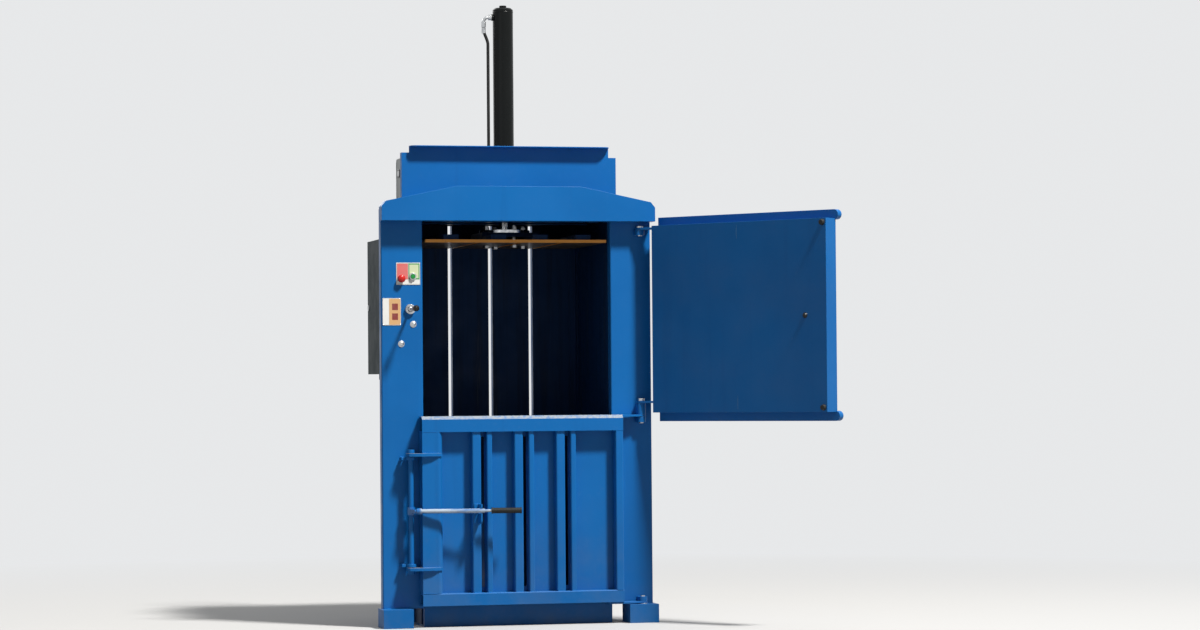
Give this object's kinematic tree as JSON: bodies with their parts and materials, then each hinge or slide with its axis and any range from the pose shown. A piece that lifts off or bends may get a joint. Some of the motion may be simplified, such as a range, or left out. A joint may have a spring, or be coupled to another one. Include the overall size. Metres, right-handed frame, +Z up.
{
  "type": "vertical recycling baler",
  "caption": "Upright baling press in blue steel with an open loading door, a closed bale door, a raised platen and a cylinder on top.",
  "frame": {"origin": "on the floor under the middle of the body, on the underside of the cross tube of the base", "axes": "+Z up, -Y out of the front with the doors, +X to the hinge side"},
  "size_m": [1.6294, 1.3598, 2.421],
  "materials": {
    "blue_paint": "satin powder coat",
    "grey_paint": "satin paint",
    "black_paint": "satin paint",
    "dark_paint": "textured paint",
    "orange_paint": "worn paint",
    "motor_paint": "satin paint",
    "cast": "cast and painted",
    "bright_steel": "zinc plated",
    "rubber": "matt",
    "conduit": "matt",
    "black_plastic": "satin",
    "red_plastic": "satin",
    "green_plastic": "satin",
    "plate_print": "printed plate"
  },
  "bodies": {
    "frame": {"base_frame": "blue_paint", "chamber_floor": "blue_paint", "front_feet": "blue_paint", "left_post": "blue_paint", "right_post": "blue_paint", "left_wall": "blue_paint", "right_wall": "blue_paint", "side_ribs": "blue_paint", "rear_wall": "blue_paint", "rear_ribs": "blue_paint", "guide_rails": "blue_paint", "header": "blue_paint", "cross_beams": "blue_paint", "deck_plate": "blue_paint", "top_fascia": "blue_paint", "cylinder_barrel": "black_paint", "cylinder_cap": "black_paint", "cylinder_gland": "bright_steel", "hoses": "rubber", "hose_fittings": "bright_steel", "oil_tank": "grey_paint", "tank_fittings": "black_plastic", "motor": "motor_paint", "pump": "cast", "spool_valve": "cast", "valve_pipes": "bright_steel", "control_bezels": "bright_steel", "control_plate": "plate_print", "info_plate": "plate_print", "frame_bolts": "bright_steel", "cabinet_body": "dark_paint", "cabinet_conduit": "conduit", "hinge_brackets": "blue_paint", "hinge_pins": "bright_steel", "lock_keepers": "blue_paint"},
    "upper_door": {"upper_door_tray": "blue_paint", "upper_door_skin": "blue_paint", "upper_door_rails": "blue_paint", "upper_door_arms": "blue_paint", "upper_door_buffers": "rubber", "upper_door_knob": "black_plastic"},
    "lower_door": {"lower_door_frame": "blue_paint", "lower_door_panel": "blue_paint", "lower_door_channels": "blue_paint", "lower_door_arms": "blue_paint", "lock_lugs": "blue_paint", "lever_rest": "blue_paint"},
    "lock": {"lock_shaft": "blue_paint", "lock_lever": "bright_steel", "lever_grip": "black_plastic"},
    "platen": {"ram_rod": "bright_steel", "platen": "orange_paint", "platen_bars": "blue_paint", "platen_bolts": "bright_steel"},
    "stop_button": {"stop_button": "red_plastic"},
    "start_button": {"start_button": "green_plastic"},
    "valve_lever": {"valve_lever": "bright_steel", "valve_knob": "black_plastic"},
    "cabinet_door": {"cabinet_door": "dark_paint"},
    "cabinet_lock": {"cabinet_lock": "bright_steel"}
  },
  "joints": [
    {"name": "upper_door", "type": "hinge", "parent": "frame", "child": "upper_door", "pos_m": [0.485, -0.332, 1.2], "axis": [0, 0, 1], "range_deg": [-127, 30]},
    {"name": "lower_door", "type": "hinge", "parent": "frame", "child": "lower_door", "pos_m": [0.485, -0.332, 0.44], "axis": [0, 0, 1], "range_deg": [0, 120]},
    {"name": "lock_lever", "type": "hinge", "parent": "lower_door", "child": "lock", "pos_m": [-0.429, -0.352, 0.445], "axis": [0, 0, 1], "range_deg": [-110, 8]},
    {"name": "ram", "type": "slide", "parent": "frame", "child": "platen", "axis": [0, 0, -1], "range_m": [0, 0.6]},
    {"name": "stop_button", "type": "slide", "parent": "frame", "child": "stop_button", "axis": [0, 1, 0], "range_m": [0, 0.004], "stiffness_N_per_m": 900, "springref_m": -0.001},
    {"name": "start_button", "type": "slide", "parent": "frame", "child": "start_button", "axis": [0, 1, 0], "range_m": [0, 0.004], "stiffness_N_per_m": 900, "springref_m": -0.001},
    {"name": "valve_lever", "type": "hinge", "parent": "frame", "child": "valve_lever", "pos_m": [-0.42, -0.317, 1.216], "axis": [1, 0, 0], "range_deg": [-18, 18], "stiffness_Nm_per_rad": 8},
    {"name": "cabinet_door", "type": "hinge", "parent": "frame", "child": "cabinet_door", "pos_m": [-0.5075, -0.253, 1.23], "axis": [0, 0, 1], "range_deg": [0, 95]},
    {"name": "cabinet_lock", "type": "hinge", "parent": "cabinet_door", "child": "cabinet_lock", "pos_m": [-0.51, 0.065, 1.23], "axis": [-1, 0, 0], "range_deg": [0, 90]}
  ]
}
